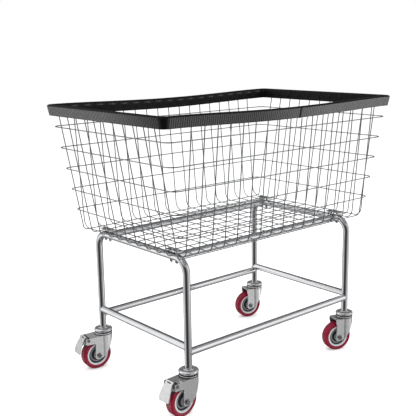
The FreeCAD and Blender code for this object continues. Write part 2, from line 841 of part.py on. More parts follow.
def fork_side(caster):
    """Side view of a fork cheek: a blade round the axle, with a lobe for the brake pivot."""
    trail = size["trail"]
    pivot = size["pivot_reach"]
    above = size["fork_top"] + 1
    blade = (
        (-BOWL_LIP - 2.5, above),
        (-BOWL_LIP - 2.5, 111),
        (-BOWL_LIP + 3, 106),
        (-14, 85),
        (-6, 68),
        (5, 51, 29),
        (trail - 6, axle_height - AXLE_EYE + 1, 40),
        (trail + 6, axle_height - AXLE_EYE + 1, 12),
        (trail + AXLE_EYE - 1, axle_height + 3),
    )
    if not caster["brake"]:
        return blade + ((trail + 10, 92), (trail + AXLE_EYE, 104), (trail + AXLE_EYE, above))
    return blade + (
        (trail + 10, 90.5),
        (trail + 12.5, 93),
        (pivot + 6, 95),
        (pivot + 9.5, 98),
        (pivot + 8, 112, 6),
        (pivot + 3, above),
    )


def build_fork(caster):
    """Pressed sheet fork with a round crown; a brake fork has two lobes behind for the pivot."""
    body = new_body(caster["name"] + "_fork")
    reach = size["pivot_reach"] + LOBE_REACH if caster["brake"] else size["trail"] + AXLE_EYE
    sheet_size = size["fork_sheet"]
    top = size["fork_top"]
    inner_half = size["fork_half"] - sheet_size
    plan = new_sketch(body, "XY_Plane", CHEEK_BASE)
    fork_plan(plan, size["fork_front"], size["fork_half"], reach)
    pad(body, plan, top - CHEEK_BASE)
    hollow = new_sketch(body, "XY_Plane", CHEEK_BASE)
    fork_plan(hollow, size["fork_front"] - sheet_size, inner_half, reach + 1)
    pocket(body, hollow, top - sheet_size - CHEEK_BASE, reverse=True)
    side = new_sketch(body, "XZ_Plane")
    below, ahead, behind = CHEEK_BASE - 5, -60, 120
    add_outline(side, ((ahead, below), (behind, below), (behind, top + 5), (ahead, top + 5)))
    add_outline(side, fork_side(caster))
    pocket(body, side)
    if caster["brake"]:
        notch = new_sketch(body, "XY_Plane", top + 1)
        start = size["fork_plate_end"]
        add_outline(notch, (
            (start, -inner_half),
            (reach + 1, -inner_half),
            (reach + 1, inner_half),
            (start, inner_half),
        ))
        pocket(body, notch, sheet_size + 2)
        pivot = new_sketch(body, "XZ_Plane")
        pivot_bore = size["brake_pin"] / 2 + size["running_fit"]
        add_circle(pivot, size["pivot_reach"], size["pivot_height"], pivot_bore)
        pocket(body, pivot)
    crown = new_sketch(body, "XZ_Plane")
    crown_radius, neck = size["crown_outer"] / 2, size["crown_neck"] / 2
    add_outline(crown, (
        (0, top - 1),
        (neck, top - 1),
        (neck, size["crown_base"]),
        (crown_radius - 1.5, size["crown_base"], 2),
        (crown_radius, (size["crown_base"] + size["crown_top"]) / 2, 2),
        (crown_radius - 1.5, size["crown_top"]),
        (0, size["crown_top"]),
    ))
    revolve(body, crown)
    ball_groove(body)
    bore = new_sketch(body, "XY_Plane", top)
    add_circle(bore, 0, 0, pin_radius + size["running_fit"])
    pocket(body, bore)
    eyes = new_sketch(body, "XZ_Plane")
    add_circle(eyes, size["trail"], axle_height, size["axle"] / 2 + size["bolt_clearance"])
    pocket(body, eyes)
    caster_place(body, caster)
    keep(body)


def wheel_place(thing, caster):
    """A wheel piece is drawn about its own axle, so it is moved back along the trail."""
    turn = caster["turn"]
    bind(thing, "Placement.Rotation.Angle", turn)
    thing.setExpression("Placement.Base.x", "%s + %s * cos(%s)" % (
        formula(caster["x"]), formula(size["trail"]), formula(turn)))
    thing.setExpression("Placement.Base.y", "%s + %s * sin(%s)" % (
        formula(caster["y"]), formula(size["trail"]), formula(turn)))
    bind(thing, "Placement.Base.z", axle_height)


BEARING_RADIUS = 11
BEARING_WIDTH = 7
HUB_HALF = 20
HUB_RADIUS = 15.5


def turned(label, outline):
    """A piece turned about its own Y axis, from an outline of (radius, along) corners."""
    body = new_body(label)
    sketch = new_sketch(body, "XY_Plane")
    add_outline(sketch, outline)
    revolve(body, sketch)
    return body


def build_wheel_core(caster):
    """Wheel centre: rim under the tyre, stepped web with a raised ring, and hub."""
    seat = BEARING_RADIUS + size["press_fit"]
    step = HUB_HALF - BEARING_WIDTH
    rim = size["core_outer"] / 2
    outer_face = (
        (seat, HUB_HALF),
        (HUB_RADIUS, HUB_HALF),
        (HUB_RADIUS + 1, 5),
        (20.5, 5),
        (21.5, 9),
        (25.5, 9),
        (26.5, 5),
        (30.5, 5),
        (31.5, 13.5),
        (rim, 13.5),
    )
    other_face = [(radius, -along) for radius, along in reversed(outer_face)]
    bore = ((seat, -step), (9, -step), (9, step), (seat, step))
    body = turned(caster["name"] + "_wheel_core", list(outer_face) + other_face + list(bore))
    wheel_place(body, caster)
    keep(body)


def build_tyre(caster):
    """Polyurethane tyre with rounded shoulders and a flat tread."""
    inner = size["core_outer"] / 2 + size["press_fit"]
    outer = size["wheel_outer"] / 2
    half = size["tyre_width"] / 2
    shoulder = 6
    body = turned(caster["name"] + "_tyre", (
        (inner, -half + 1.5),
        (outer - shoulder, -half, shoulder),
        (outer, -half + shoulder),
        (outer, half - shoulder, shoulder),
        (outer - shoulder, half),
        (inner, half - 1.5),
    ))
    wheel_place(body, caster)
    keep(body)


def build_bearings(caster):
    """Two sealed bearings; the inner ring of each stands out to meet the fork cheek."""
    outside = HUB_HALF - 0.1
    inside = HUB_HALF - BEARING_WIDTH + 0.05
    bore = size["axle"] / 2 + size["running_fit"]
    cheek = size["fork_half"] - size["fork_sheet"] - 0.1
    half = (
        (bore, inside),
        (BEARING_RADIUS, inside),
        (BEARING_RADIUS, outside),
        (9.2, outside),
        (9.0, outside - 0.5),
        (7.0, outside - 0.5),
        (6.6, cheek),
        (bore, cheek),
    )
    body = new_body(caster["name"] + "_bearings")
    sketch = new_sketch(body, "XY_Plane")
    add_outline(sketch, half)
    mirror(body, [revolve(body, sketch)], "XZ_Plane")
    wheel_place(body, caster)
    keep(body)


AXLE_HEAD = 5.3
AXLE_HEAD_RADIUS = 7.5
AXLE_NUT = 6.5


def build_axle_bolt(caster):
    """Hexagon bolt through both cheeks and the wheel."""
    body = new_body(caster["name"] + "_axle_bolt")
    face = size["fork_half"] + size["press_fit"]
    head = new_sketch(body, "XZ_Plane", -face)
    hexagon(head, size["trail"], axle_height, AXLE_HEAD_RADIUS)
    pad(body, head, AXLE_HEAD, reverse=True)
    shank = new_sketch(body, "XZ_Plane", -face)
    add_circle(shank, size["trail"], axle_height, size["axle"] / 2)
    pad(body, shank, size["fork_half"] * 2 + AXLE_NUT + 2)
    caster_place(body, caster)
    keep(body)


def build_axle_nut(caster):
    body = new_body(caster["name"] + "_axle_nut")
    face = size["fork_half"] + size["press_fit"]
    flats = new_sketch(body, "XZ_Plane", face)
    hexagon(flats, size["trail"], axle_height, AXLE_HEAD_RADIUS)
    add_circle(flats, size["trail"], axle_height, size["axle"] / 2 + size["press_fit"])
    pad(body, flats, AXLE_NUT)
    caster_place(body, caster)
    keep(body)


def brake_place(thing, caster):
    """A brake piece is drawn about its own pivot, so it is moved back and up to that pivot."""
    turn = caster["turn"]
    bind(thing, "Placement.Rotation.Angle", turn)
    thing.setExpression("Placement.Base.x", "%s + %s * cos(%s)" % (
        formula(caster["x"]), formula(size["pivot_reach"]), formula(turn)))
    thing.setExpression("Placement.Base.y", "%s + %s * sin(%s)" % (
        formula(caster["y"]), formula(size["pivot_reach"]), formula(turn)))
    bind(thing, "Placement.Base.z", size["pivot_height"])


def shoe_directions():
    """From the brake pivot: the way to the wheel centre, and the way along the tread from there."""
    back = number(size["trail"] - size["pivot_reach"])
    down = number(axle_height - size["pivot_height"])
    to_wheel = Vector(back, down, 0)
    distance = to_wheel.Length
    towards = to_wheel / distance
    return towards, Vector(-towards.y, towards.x, 0), distance


def shoe_corner(radius, degrees):
    """Point at a radius from the wheel centre, turned from the pivot line towards the rear."""
    towards, along, distance = shoe_directions()
    turn = math.radians(degrees)
    point = towards * (distance - radius * math.cos(turn)) + along * radius * math.sin(turn)
    return round(point.x, 3), round(point.y, 3)


SHOE_FROM = 0
SHOE_TO = 17
SHOE_HALF = 12
tread = number(axle_height) + number(size["shoe_gap"])
shoe_back = tread + number(size["shoe_thick"])


PEDAL_TOP = 13.4
PEDAL_FOOT = -44.5
PEDAL_BOW = 110
PEDAL_CORNER = 7


def pedal_face(body):
    """Trim the bowed plate to a narrow neck and a broad foot, and cut the slot under its top edge."""
    neck, foot = size["pedal_neck"], size["pedal_half"]
    face = new_sketch(body, "YZ_Plane")
    beside, above, below = 40, PEDAL_TOP + 12, PEDAL_FOOT - 12
    add_outline(face, ((-beside, below), (beside, below), (beside, above), (-beside, above)))
    add_outline(face, (
        (-neck, PEDAL_TOP + 6),
        (-neck, 4),
        (-foot, -25),
        (-foot, PEDAL_FOOT + PEDAL_CORNER, PEDAL_CORNER),
        (PEDAL_CORNER - foot, PEDAL_FOOT),
        (foot - PEDAL_CORNER, PEDAL_FOOT, PEDAL_CORNER),
        (foot, PEDAL_FOOT + PEDAL_CORNER),
        (foot, -25),
        (neck, 4),
        (neck, PEDAL_TOP + 6),
    ))
    pocket(body, face)
    slot = new_sketch(body, "YZ_Plane")
    add_outline(slot, ((-8, 7.2), (8, 7.2), (8, 10), (-8, 10)))
    pocket(body, slot)


def build_pedal(caster):
    """Brake pedal: a bowed tread plate with side ears on the pivot and a tongue to the shoe."""
    body = new_body(caster["name"] + "_brake_pedal")
    sheet_size = size["pedal_sheet"]
    slope = new_sketch(body, "XZ_Plane")
    add_outline(slope, (
        (3.5, 12.5, 2 - PEDAL_BOW),
        (30, PEDAL_FOOT),
        (32, PEDAL_FOOT + 0.9, PEDAL_BOW),
        (5.5, PEDAL_TOP),
    ))
    pad(body, slope, size["pedal_half"] * 2, both_ways=True)
    ears = new_sketch(body, "XZ_Plane")
    add_outline(ears, (
        (-5.2, 0, -5.2 * 1.02),
        (-1, 5.1),
        (3.6, 12),
        (18.5, -16),
        (2, -4.8, -5.2 * 1.02),
    ))
    pad(body, ears, size["pedal_neck"] * 2, both_ways=True)
    gap = new_sketch(body, "XZ_Plane")
    add_outline(gap, (
        (-8, -8),
        (-8, 6.5),
        (0.2, 14.8),
        (3.0, 12.6),
        (19.5, -18.5),
        (12, -22),
    ))
    pocket(body, gap, (size["pedal_neck"] - sheet_size) * 2, both_ways=True)
    pedal_face(body)
    barrel = new_sketch(body, "XZ_Plane")
    add_circle(barrel, 0, 0, size["brake_pin"] / 2 + sheet_size)
    pad(body, barrel, size["pedal_neck"] * 2, both_ways=True)
    tongue = new_sketch(body, "XZ_Plane")
    back = shoe_back + number(size["press_fit"])
    add_outline(tongue, (
        (-3.5, -3),
        shoe_corner(back, 1.0) + (-back,),
        shoe_corner(back, 14.0),
        (3.8, -2.5),
    ))
    pad(body, tongue, SHOE_HALF * 2, both_ways=True)
    bore = new_sketch(body, "XZ_Plane")
    add_circle(bore, 0, 0, size["brake_pin"] / 2 + size["running_fit"])
    pocket(body, bore)
    brake_place(body, caster)
    keep(body)


def build_brake_pin(caster):
    """Headed pin through the two lobes of the fork and the pedal."""
    body = new_body(caster["name"] + "_brake_pin")
    face = size["fork_half"] + size["press_fit"]
    shank = new_sketch(body, "XZ_Plane")
    add_circle(shank, 0, 0, size["brake_pin"] / 2)
    pad(body, shank, face * 2 + 1, both_ways=True)
    head = new_sketch(body, "XZ_Plane", face)
    add_circle(head, 0, 0, size["brake_pin"] / 2 + 2)
    mirror(body, [pad(body, head, 2)], "XZ_Plane")
    brake_place(body, caster)
    keep(body)


def build_brake_shoe(caster):
    """Rubber block that the pedal's tongue holds against the tread."""
    body = new_body(caster["name"] + "_brake_shoe")
    sketch = new_sketch(body, "XZ_Plane")
    add_outline(sketch, (
        shoe_corner(tread, SHOE_FROM) + (-tread,),
        shoe_corner(tread, SHOE_TO),
        shoe_corner(shoe_back, SHOE_TO) + (shoe_back,),
        shoe_corner(shoe_back, SHOE_FROM),
    ))
    pad(body, sketch, SHOE_HALF * 2, both_ways=True)
    brake_place(body, caster)
    keep(body)


def build_caster(caster):
    for build in (build_stem, build_king_pin, build_balls, build_fork, build_wheel_core, build_tyre,
                  build_bearings, build_axle_bolt, build_axle_nut):
        build(caster)
    if caster["brake"]:
        for build in (build_pedal, build_brake_pin, build_brake_shoe):
            build(caster)


def build_casters():
    for front, side_y in (("front", -1), ("back", 1)):
        for end, side_x in (("left", -1), ("right", 1)):
            place_name = front + "_" + end
            build_caster({
                "name": place_name,
                "x": size["leg_x"] * side_x,
                "y": size["leg_y"] * side_y,
                "turn": size["angle_" + place_name],
                "brake": end == "left",
            })


# --------------------------------------------------------------------------------- check and write


def check_document():
    for item in doc.Objects:
        if "Invalid" in item.State or "Error" in item.State:
            raise RuntimeError("%s failed to recompute: %s" % (item.Name, item.State))
    labels = [node.Label for node in NODES]
    if len(set(labels)) != len(labels):
        raise RuntimeError("two pieces share a label")
    for node in NODES:
        if node.Shape.isNull() or not node.Shape.isValid() or not node.Shape.Solids:
            raise RuntimeError("%s has no valid solid" % node.Label)


def write_nodes():
    os.makedirs("parts", exist_ok=True)
    for node in NODES:
        node.Shape.exportStep(os.path.join("parts", node.Label + ".step"))
        print("%-32s %3d solids %12.1f mm3" % (node.Label, len(node.Shape.Solids), node.Shape.Volume))


build_frame()
build_basket()
build_clamps()
build_casters()
doc.recompute()
check_document()
write_nodes()
print(len(NODES), "nodes")
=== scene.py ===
import json
import math

import bpy
import numpy as np
from mathutils import Matrix, Vector


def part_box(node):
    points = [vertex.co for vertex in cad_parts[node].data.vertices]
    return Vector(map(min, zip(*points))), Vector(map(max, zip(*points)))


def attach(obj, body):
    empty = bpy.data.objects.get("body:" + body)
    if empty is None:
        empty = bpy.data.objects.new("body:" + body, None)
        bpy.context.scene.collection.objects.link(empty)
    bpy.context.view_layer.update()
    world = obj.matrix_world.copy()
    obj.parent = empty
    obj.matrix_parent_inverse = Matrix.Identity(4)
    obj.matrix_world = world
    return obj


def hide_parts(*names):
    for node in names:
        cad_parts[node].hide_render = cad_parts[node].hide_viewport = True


# Looks of the laundry cart.  Metres, in the CAD frame: origin on the floor under the middle of the
# cart, +X along it, +Y across it, +Z up.

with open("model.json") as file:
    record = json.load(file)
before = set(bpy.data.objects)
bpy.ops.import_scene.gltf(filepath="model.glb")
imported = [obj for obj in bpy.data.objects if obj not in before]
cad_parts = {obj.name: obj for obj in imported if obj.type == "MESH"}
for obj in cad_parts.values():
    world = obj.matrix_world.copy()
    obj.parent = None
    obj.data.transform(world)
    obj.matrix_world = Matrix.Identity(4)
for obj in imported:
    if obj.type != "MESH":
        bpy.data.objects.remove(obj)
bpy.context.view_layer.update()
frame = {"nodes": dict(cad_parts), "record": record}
SLOT_OF = {part["node"]: part["material_slot"] for part in frame["record"]["subparts"]}

WIRE_RADIUS = 0.0016
TUBE_RADIUS = 0.0111
BEAD_RADIUS = 0.0013
BEAD_SINK = 0.0004       # how far a weld bead's middle lies back from the tube it runs on
HOOP_GAP = 0.00005       # clearance between the hoops and the wires they are welded to
CROSS_WIRES = 17
LENGTH_WIRES = 11
HOOPS = 5

# ------------------------------------------------------------------------------ node tree helpers


def add_node(tree, kind, settings=None, **inputs):
    """A shader node; inputs are named by their socket with _ for a space, values or sockets."""
    node = tree.nodes.new(kind)
    for name, value in (settings or {}).items():
        setattr(node, name, value)
    for name, value in inputs.items():
        socket = node.inputs[name.replace("_", " ")]
        if isinstance(value, bpy.types.NodeSocket):
            tree.links.new(value, socket)
        else:
            socket.default_value = value
    return node


def noise(tree, place, scale, detail=4.0, rough=0.6):
    node = add_node(tree, "ShaderNodeTexNoise", Vector=place, Scale=scale, Detail=detail, Roughness=rough)
    return node.outputs["Fac"]


def spread(tree, value, low, high, start=0.3, stop=0.7):
    """Map a value between start and stop to the range low to high, and hold it there outside."""
    node = add_node(tree, "ShaderNodeMapRange", Value=value)
    node.inputs["From Min"].default_value = start
    node.inputs["From Max"].default_value = stop
    node.inputs["To Min"].default_value = low
    node.inputs["To Max"].default_value = high
    return node.outputs["Result"]


def blend_colour(tree, share, first, second):
    node = add_node(tree, "ShaderNodeMix", {"data_type": "RGBA"})
    tree.links.new(share, node.inputs[0])
    for index, colour in ((6, first), (7, second)):
        if isinstance(colour, bpy.types.NodeSocket):
            tree.links.new(colour, node.inputs[index])
        else:
            node.inputs[index].default_value = (*colour, 1.0)
    return node.outputs[2]


def stretched(tree, place, scale):
    node = add_node(tree, "ShaderNodeMapping", Vector=place)
    node.inputs["Scale"].default_value = scale
    return node.outputs["Vector"]


def new_material(name):
    """An empty material with a Principled shader, and the object-space place of each point."""
    material = bpy.data.materials.new(name)
    material.use_nodes = True
    tree = material.node_tree
    shader = tree.nodes["Principled BSDF"]
    place = add_node(tree, "ShaderNodeTexCoord").outputs["Object"]
    return material, tree, shader, place


def set_input(tree, shader, name, value):
    if isinstance(value, bpy.types.NodeSocket):
        tree.links.new(value, shader.inputs[name])
    elif isinstance(value, tuple):
        shader.inputs[name].default_value = (*value, 1.0)
    else:
        shader.inputs[name].default_value = value


def add_bump(tree, shader, height, distance, strength=1.0, rounding=0.0):
    """Fine surface relief, over edges that are rounded by a radius in the shading."""
    node = add_node(tree, "ShaderNodeBump", Height=height, Distance=distance, Strength=strength)
    if rounding:
        edges = add_node(tree, "ShaderNodeBevel", {"samples": 4}, Radius=rounding)
        tree.links.new(edges.outputs["Normal"], node.inputs["Normal"])
    tree.links.new(node.outputs["Normal"], shader.inputs["Normal"])


# -------------------------------------------------------------------------------------- materials

# Painted shade: colours are darkened towards this near black where neighbouring surfaces close a surface in,
# for the shade that falls in crevices and between parts.
PAINTED_SHADE_COLOUR = (0.012, 0.012, 0.013)
PAINTED_SHADE_REACH = 0.024      # the painted shade gathers where neighbouring surfaces are nearer than this
WHEEL_REACH = 0.04       # radius that the rings of a wheel centre are set out over


def chrome(name, bright, dull, rough):
    """Chrome plate: almost a mirror, with handling smears, hairline scratches and faint pits."""
    material, tree, shader, place = new_material(name)
    smear = noise(tree, place, 9.0, 5.0)
    set_input(tree, shader, "Base Color", blend_colour(tree, spread(tree, smear, 0.0, 1.0), bright, dull))
    set_input(tree, shader, "Metallic", 1.0)
    haze = noise(tree, place, 55.0, 6.0)
    set_input(tree, shader, "Roughness", spread(tree, haze, rough * 0.6, rough * 1.7))
    scratch = noise(tree, stretched(tree, place, (900.0, 900.0, 60.0)), 1.0, 3.0)
    add_bump(tree, shader, scratch, 0.00002, 0.5)
    return material


def with_painted_shade(tree, colour):
    """The colour, darkened by painted shade where neighbouring surfaces close it in."""
    around = add_node(tree, "ShaderNodeAmbientOcclusion", {"samples": 8}, Distance=PAINTED_SHADE_REACH)
    openness = spread(tree, around.outputs["AO"], 0.0, 1.0, 0.2, 0.75)
    return blend_colour(tree, openness, PAINTED_SHADE_COLOUR, colour)


def zinc(name, bright, dull, rough, metallic=1.0):
    """Bright zinc on pressed steel: cloudy crystals, soft reflections and a fine rolled grain."""
    material, tree, shader, place = new_material(name)
    crystal = add_node(tree, "ShaderNodeTexVoronoi", Vector=place, Scale=260.0)
    grain = noise(tree, place, 75.0, 6.0)
    cloud = add_node(tree, "ShaderNodeMath", {"operation": "MULTIPLY_ADD"})
    tree.links.new(crystal.outputs["Color"], cloud.inputs[0])
    cloud.inputs[1].default_value = 0.25
    tree.links.new(grain, cloud.inputs[2])
    share = spread(tree, cloud.outputs[0], 0.0, 1.0, 0.35, 0.95)
    # Its base colour carries painted shade in crevices and between parts.
    set_input(tree, shader, "Base Color", with_painted_shade(tree, blend_colour(tree, share, bright, dull)))
    set_input(tree, shader, "Metallic", metallic)
    set_input(tree, shader, "Roughness", spread(tree, grain, rough * 0.75, rough * 1.4))
    rolled = noise(tree, stretched(tree, place, (1500.0, 1500.0, 220.0)), 1.0, 4.0)
    add_bump(tree, shader, rolled, 0.00003, 0.5, rounding=0.0011)
    return material


def vinyl(name, dark, light, rough, painted_sheen_colour=None):
    """Black vinyl or rubber: dull, a little greyer where it is rubbed, with a fine pebbled skin.
    A painted sheen colour, standing in for highlights on the ribs and a reflection along the skin, shows as
    far as the mesh says in its painted sheen value, 0 to 1."""
    material, tree, shader, place = new_material(name)
    rubbed = noise(tree, place, 16.0, 6.0)
    colour = blend_colour(tree, spread(tree, rubbed, 0.0, 1.0), dark, light)
    shine = 0.3
    if painted_sheen_colour:
        crest = add_node(tree, "ShaderNodeAttribute", {"attribute_name": "crest"}).outputs["Fac"]
        colour = blend_colour(tree, spread(tree, crest, 0.0, 1.0, 0.0, 1.0), colour, painted_sheen_colour)
        shine = spread(tree, crest, 0.05, 0.8, 0.0, 1.0)
        set_input(tree, shader, "IOR", 2.1)
    set_input(tree, shader, "Base Color", colour)
    set_input(tree, shader, "Specular IOR Level", shine)
    set_input(tree, shader, "Roughness", spread(tree, noise(tree, place, 120.0), rough * 0.85, rough * 1.2))
    pebbles = noise(tree, place, 1400.0, 3.0)
    add_bump(tree, shader, pebbles, 0.00008, 0.6)
    return material


def polyurethane(name, deep, lit):
    """Glossy cast tyre: a clear skin over a slightly cloudy colour, scuffed in small patches."""
    material, tree, shader, place = new_material(name)
    cloud = noise(tree, place, 40.0, 5.0)
    set_input(tree, shader, "Base Color", blend_colour(tree, spread(tree, cloud, 0.0, 1.0), deep, lit))
    scuff = noise(tree, place, 210.0, 8.0, 0.7)
    set_input(tree, shader, "Roughness", spread(tree, scuff, 0.16, 0.42, 0.42, 0.75))
    set_input(tree, shader, "Specular IOR Level", 0.35)
    set_input(tree, shader, "Coat Weight", 0.3)
    set_input(tree, shader, "Coat Roughness", 0.08)
    add_bump(tree, shader, scuff, 0.00006, 0.5)
    return material


# Tone of the wheel centre from its hub outwards: (radius in metres, share of the light colour). The near
# black rings are painted shade in its hollows.
WHEEL_TONES_AND_PAINTED_SHADE = ((0.0, 0.3), (0.0157, 0.03), (0.0208, 0.36), (0.0258, 0.02), (0.0309, 1.0))


def hub_rings_and_painted_shade(tree, place, centre, axle):
    """Share of the light colour at a distance from the axle; the near black rings are painted shade."""
    offset = add_node(tree, "ShaderNodeVectorMath", {"operation": "SUBTRACT"})
    tree.links.new(place, offset.inputs[0])
    offset.inputs[1].default_value = centre
    across = add_node(tree, "ShaderNodeVectorMath", {"operation": "CROSS_PRODUCT"})
    tree.links.new(offset.outputs[0], across.inputs[0])
    across.inputs[1].default_value = axle
    radius = add_node(tree, "ShaderNodeVectorMath", {"operation": "LENGTH"})
    tree.links.new(across.outputs[0], radius.inputs[0])
    ramp = add_node(tree, "ShaderNodeValToRGB")
    tree.links.new(spread(tree, radius.outputs["Value"], 0.0, 1.0, 0.0, WHEEL_REACH), ramp.inputs["Fac"])
    ramp.color_ramp.interpolation = "CONSTANT"
    for index, (start, tone) in enumerate(WHEEL_TONES_AND_PAINTED_SHADE):
        if index < 2:
            stop = ramp.color_ramp.elements[index]
            stop.position = start / WHEEL_REACH
        else:
            stop = ramp.color_ramp.elements.new(start / WHEEL_REACH)
        stop.color = (tone, tone, tone, 1.0)
    return ramp.outputs["Color"]


def moulded(name, light, dark, rough, centre=None, axle=None):
    """Moulded nylon: faint flow marks and a fine matt skin; a wheel centre gets painted shade in its
    hollows.
    """
    material, tree, shader, place = new_material(name)
    flow = noise(tree, place, 30.0, 3.0)
    colour = blend_colour(tree, spread(tree, flow, 0.0, 1.0), light, dark)
    if axle:
        # Painted shade: the hollows of a wheel centre are laid in near black.
        colour = blend_colour(tree, hub_rings_and_painted_shade(tree, place, centre, axle), (0.006, 0.006, 0.007), colour)
    set_input(tree, shader, "Base Color", colour)
    set_input(tree, shader, "Roughness", spread(tree, noise(tree, place, 160.0), rough * 0.8, rough * 1.25))
    add_bump(tree, shader, noise(tree, place, 1800.0, 2.0), 0.00003, 0.6)
    return material


def studio_floor(name):
    """Pale sweep of paper, with a barely visible mottle."""
    material, tree, shader, place = new_material(name)
    mottle = noise(tree, place, 1.5, 3.0)
    colour = blend_colour(tree, spread(tree, mottle, 0.0, 1.0), (0.93, 0.93, 0.93), (0.96, 0.96, 0.96))
    set_input(tree, shader, "Base Color", colour)
    set_input(tree, shader, "Roughness", 0.9)
    set_input(tree, shader, "Specular IOR Level", 0.1)
    set_input(tree, shader, "Emission Color", (1.0, 1.0, 1.0))
    set_input(tree, shader, "Emission Strength", 0.16)
    add_bump(tree, shader, noise(tree, place, 300.0), 0.0002, 0.2)
    return material


MATERIALS = {
    "chrome_tube": chrome("chrome_tube", (0.88, 0.88, 0.89), (0.78, 0.79, 0.8), 0.07),
    "basket_wire": chrome("basket_wire", (0.46, 0.47, 0.48), (0.34, 0.35, 0.36), 0.14),
    "bright_steel": zinc("bright_steel", (0.86, 0.86, 0.87), (0.74, 0.74, 0.75), 0.16),
    "zinc_steel": zinc("zinc_steel", (0.92, 0.92, 0.93), (0.8, 0.8, 0.81), 0.1, metallic=0.9),
    "dark_steel": zinc("dark_steel", (0.34, 0.34, 0.35), (0.2, 0.2, 0.21), 0.35),
    # The bumper's lighter colour is a painted sheen: painted highlights on the ribs and a painted reflection
    # along the skin.
    "bumper_vinyl": vinyl("bumper_vinyl", (0.002, 0.002, 0.0024), (0.004, 0.004, 0.0045), 0.24,
                          painted_sheen_colour=(0.11, 0.11, 0.112)),
    "black_rubber": vinyl("black_rubber", (0.01, 0.01, 0.01), (0.022, 0.022, 0.022), 0.7),
    "tyre_red": polyurethane("tyre_red", (0.14, 0.001, 0.012), (0.21, 0.003, 0.022)),
    "wheel_grey": moulded("wheel_grey", (0.56, 0.57, 0.59), (0.48, 0.49, 0.51), 0.42),
}


def wheel_material(name, thing):
    """Ringed material of one wheel centre, about its own middle and axle, with painted shade in its hollows.
    """
    corners = [Vector(point.co) for point in thing.data.vertices]
    low = Vector(min(corner[axis] for corner in corners) for axis in range(3))
    high = Vector(max(corner[axis] for corner in corners) for axis in range(3))
    joint_name = "roll_" + name.replace("_wheel_core", "")
    joint = [each for each in frame["record"]["behaviour"]["joints"] if each["name"] == joint_name][0]
    return moulded(name, (0.5, 0.51, 0.53), (0.42, 0.43, 0.45), 0.42, (low + high) / 2, tuple(joint["axis"]))


# Brightness of the zinc on the pressed parts, caster by caster: painted light and shade for where each
# caster stands in the light.
PRESSING_LIGHT_AND_SHADE = {
    "front_left_fork": 0.62,
    "front_right_fork": 0.76,
    "back_left_fork": 0.92,
    "back_right_fork": 1.0,
    "front_left_brake_pedal": 0.7,
    "back_left_brake_pedal": 1.0,
}


def pressing_material(name):
    """Zinc of one fork or pedal, at the painted light and shade level of its caster."""
    bright = PRESSING_LIGHT_AND_SHADE[name]
    dull = bright * 0.88
    return zinc(name, (bright, bright, bright), (dull, dull, dull), 0.12, metallic=0.8)


def paint_cad_nodes():
    """Give every carried-over CAD node the material of its slot in the record."""
    for name, thing in frame["nodes"].items():
        material = MATERIALS[SLOT_OF[name]]
        if name.endswith("_wheel_core"):
            material = wheel_material(name, thing)
        if name in PRESSING_LIGHT_AND_SHADE:
            material = pressing_material(name)
        if not thing.data.materials:
            thing.data.materials.append(material)
        for entry in thing.material_slots:
            entry.material = material


# ------------------------------------------------------------------------------------ mesh helpers


def mesh_piece(name, points, faces, slot, body="root", crest=None):
    """A finished mesh piece with its material, riding on a CAD body; its last argument gives each point a
    painted sheen value, for painted highlights and reflections."""
    mesh = bpy.data.meshes.new(name)
    mesh.from_pydata([tuple(point) for point in points], [], faces)
    mesh.validate()
    mesh.update()
    mesh.polygons.foreach_set("use_smooth", [True] * len(mesh.polygons))
    if crest:
        mesh.attributes.new("crest", "FLOAT", "POINT").data.foreach_set("value", crest)
    mesh.materials.append(MATERIALS[slot])
    piece = bpy.data.objects.new(name, mesh)
    bpy.context.scene.collection.objects.link(piece)
    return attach(piece, body)


def loft_faces(rings, ring_size, closed_path=True, first=0):
    """Quads between successive rings of points; each ring is closed."""
    faces = []
    last = rings if closed_path else rings - 1
    for row in range(last):
        here = first + row * ring_size
        there = first + (row + 1) % rings * ring_size
        for column in range(ring_size):
            following = (column + 1) % ring_size
            faces.append((here + column, there + column, there + following, here + following))
    return faces


# ------------------------------------------------------------------------------------------ bumper

RIM_SAG = 0.008          # droop of the long sides' top edge
RIM_CORNER = 0.026       # outer radius of the rim's corners in plan
BUMPER_THICK = 0.0195
BUMPER_WALL = 0.0026
CROWN_RISE = 0.55 * BUMPER_THICK / 2    # height of the rounded top
EDGE_LEAN = 0.006        # slant of the two sides over their height
FOOT_LEAN = 0.97 * EDGE_LEAN            # slant reached at the lower edges
ROOF_DEPTH = 0.0052      # the channel's roof, below the top
ROOF_CORNER = 0.002      # how far the roof's corners stand in from the sides
SIDE_STEPS = 8
CROWN_STEPS = 12
RIB_PITCH = 0.0076
RIB_HEIGHT = 0.0014
RIB_STATIONS = 10        # cross-sections in one rib
SKIN_GAP = 0.0004        # keeps the skin just inside the CAD outline
WIRE_BULGE = 0.0014      # bulge of the inner side over each wall wire
WIRE_REACH = 0.006
CROSS_WIRE_PITCH = 0.048
LENGTH_WIRE_PITCH = 0.0488
SEAM_X = 0.034           # the butt joint, on the front side
JOINT_GAP = 0.001
JOINT_PINCH = 0.0016     # how far the two ends draw in at the joint
JOINT_REACH = 0.0025
JOINT_SHADE = 0.004      # how far from the joint the painted sheen fades out, a painted shade at the seam
GROOVE_PAINTED_SHEEN = 0.35        # how much painted sheen the grooves get, against the ridges
GLINT = 0.24             # painted highlight on the bulges over the wires


def clamp(value):
    return min(1.0, max(0.0, value))


def bell(distance, reach):
    """1 at no distance, falling smoothly to nothing well past the reach."""
    return math.exp(-(distance / reach) ** 2)


